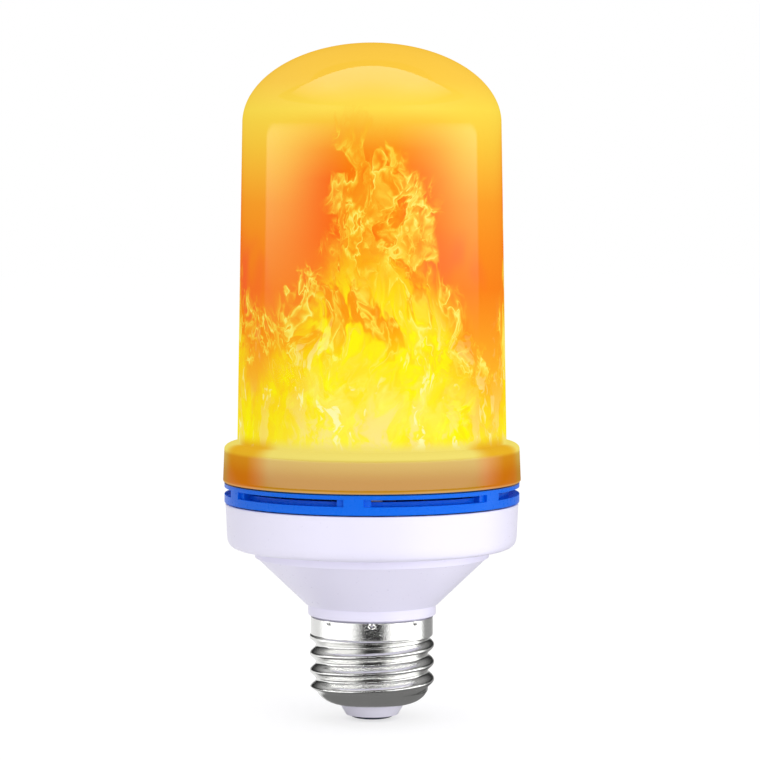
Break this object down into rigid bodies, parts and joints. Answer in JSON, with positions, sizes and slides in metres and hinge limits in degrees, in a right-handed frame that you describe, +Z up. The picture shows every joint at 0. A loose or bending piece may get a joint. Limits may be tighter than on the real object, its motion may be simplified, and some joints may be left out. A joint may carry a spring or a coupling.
{
  "type": "flame effect led bulb",
  "caption": "LED bulb with a screw cap, a white cone housing, a slotted blue vent ring and a tall milky cover that glows in a flame pattern.",
  "frame": {"origin": "middle of the centre contact's flat face, at the tip of the screw cap", "axes": "+Z up the bulb's axis, from the cap to the dome; -Y is the side that the picture shows"},
  "size_m": [0.0628, 0.0628, 0.1426],
  "materials": {
    "milky_cover": "satin",
    "blue_plastic": "gloss",
    "white_plastic": "satin",
    "nickel_plate": "polished",
    "insulator_plastic": "satin",
    "contact_metal": "satin",
    "core_plastic": "matte",
    "strip_film": "satin",
    "led_package": "satin",
    "aluminium_board": "satin",
    "driver_laminate": "satin",
    "capacitor_sleeve": "satin",
    "ferrite": "matte",
    "copper_winding": "satin",
    "film_capacitor_case": "satin",
    "chip_resin": "matte",
    "switch_can": "satin",
    "resistor_ceramic": "satin",
    "sleeve_rubber": "matte",
    "screw_steel": "satin",
    "red_insulation": "satin",
    "black_insulation": "satin",
    "tinned_copper": "satin"
  },
  "bodies": {
    "root": {"centre_contact": "contact_metal", "cap_insulator": "insulator_plastic", "screw_shell": "nickel_plate", "base_housing": "white_plastic", "vent_ring": "blue_plastic", "diffuser": "milky_cover", "column_core": "core_plastic", "flex_led_strip": "strip_film", "top_led_board": "aluminium_board", "top_led_1": "led_package", "top_led_2": "led_package", "top_led_3": "led_package", "top_led_4": "led_package", "top_led_5": "led_package", "top_led_6": "led_package", "column_screw_1": "screw_steel", "column_screw_2": "screw_steel", "column_screw_3": "screw_steel", "top_board_screw": "screw_steel", "driver_board": "driver_laminate", "bulk_capacitor": "capacitor_sleeve", "output_capacitor": "capacitor_sleeve", "choke_core": "ferrite", "choke_winding": "copper_winding", "film_capacitor": "film_capacitor_case", "bridge_rectifier": "chip_resin", "driver_chip": "chip_resin", "controller_chip": "chip_resin", "chip_resistor_1": "chip_resin", "chip_resistor_2": "chip_resin", "chip_resistor_3": "chip_resin", "chip_resistor_4": "chip_resin", "tilt_switch": "switch_can", "fuse_resistor": "resistor_ceramic", "resistor_sleeve": "sleeve_rubber", "shell_lead": "tinned_copper", "strip_wire_red": "red_insulation", "strip_wire_black": "black_insulation", "top_wire_red": "red_insulation", "top_wire_black": "black_insulation"}
  },
  "joints": []
}
